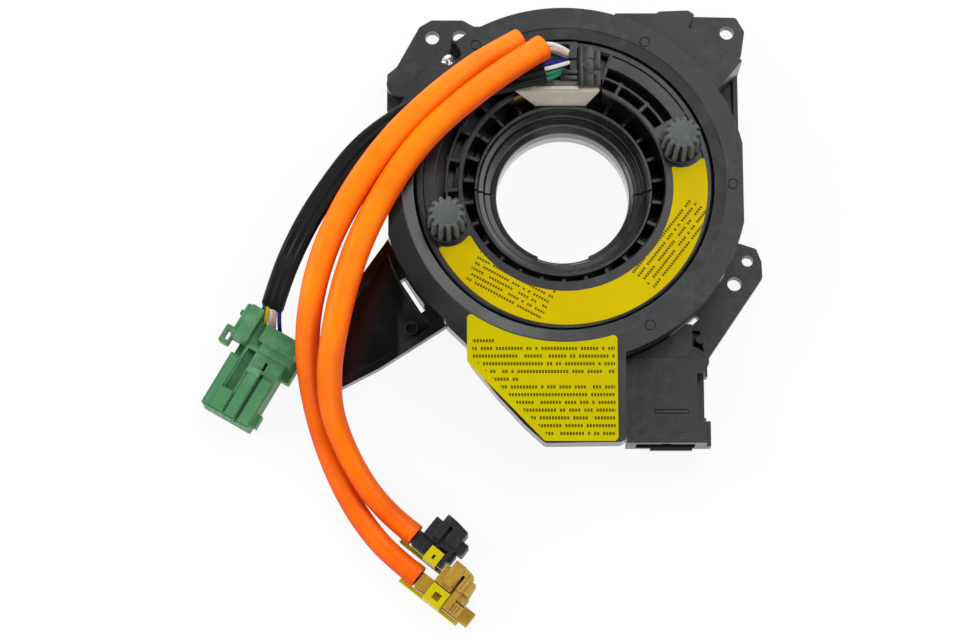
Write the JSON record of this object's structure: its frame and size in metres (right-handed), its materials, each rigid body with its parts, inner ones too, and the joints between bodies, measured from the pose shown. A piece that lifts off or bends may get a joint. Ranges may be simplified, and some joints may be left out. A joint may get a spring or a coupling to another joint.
{
  "type": "steering clock spring",
  "caption": "Round coil unit for a steering column: a rotor with two finned dogs turns in a fixed casing and carries sleeved airbag and switch leads to the wheel.",
  "frame": {"origin": "centre of the column bore, at the back plane of the casing", "axes": "+Z along the column towards the steering wheel, +Y up and +X right as seen from the driver's seat"},
  "size_m": [0.1987, 0.2229, 0.0461],
  "materials": {
    "black_plastic": "satin, fine moulded grain",
    "grey_plastic": "satin",
    "label": "printed film, glossy",
    "cream_plastic": "smooth",
    "ribbon": "smooth film",
    "slip_film": "smooth",
    "zinc_steel": "bright zinc",
    "contact_metal": "tinned",
    "orange_sleeve": "satin",
    "black_sleeve": "satin, ridged",
    "wires": "smooth",
    "green_plastic": "satin",
    "tan_plastic": "satin",
    "yellow_plastic": "satin"
  },
  "bodies": {
    "casing": {"base_housing": "black_plastic", "top_cover": "black_plastic", "plug_socket": "black_plastic", "socket_pins": "contact_metal", "contact_strips": "contact_metal", "outer_terminal": "cream_plastic", "slip_film": "slip_film", "cover_screw": "zinc_steel", "casing_label": "label"},
    "rotor": {"rotor_face": "black_plastic", "hub_sleeve": "black_plastic", "retaining_ring": "black_plastic", "inner_terminal": "cream_plastic", "drive_dog_right": "grey_plastic", "drive_dog_left": "grey_plastic", "rotor_label": "label", "lead_clamp_base": "black_plastic", "lead_clamp_cap": "black_plastic", "flat_ribbon": "ribbon", "orange_sleeve_a": "orange_sleeve", "orange_sleeve_b": "orange_sleeve", "black_sleeve": "black_sleeve", "sleeve_a_leads": "wires", "sleeve_b_leads": "wires", "loom_clamp_leads": "wires", "loom_plug_leads": "wires", "green_housing": "green_plastic", "green_contacts": "contact_metal", "green_retainer": "green_plastic", "black_squib_body": "black_plastic", "black_squib_contacts": "contact_metal", "tan_squib_body": "tan_plastic", "tan_squib_contacts": "contact_metal"},
    "black_lock": {"black_squib_lock": "yellow_plastic"},
    "tan_lock": {"tan_squib_lock": "yellow_plastic"}
  },
  "joints": [
    {"name": "rotor_spin", "type": "hinge", "parent": "casing", "child": "rotor", "pos_m": [0, 0, 0], "axis": [0, 0, 1], "range_deg": [-990, 990]},
    {"name": "black_lock_slide", "type": "slide", "parent": "rotor", "child": "black_lock", "axis": [-0.7793, 0.6266, 0], "range_m": [0, 0.002]},
    {"name": "tan_lock_slide", "type": "slide", "parent": "rotor", "child": "tan_lock", "axis": [-0.7859, 0.6184, 0], "range_m": [0, 0.002]}
  ]
}
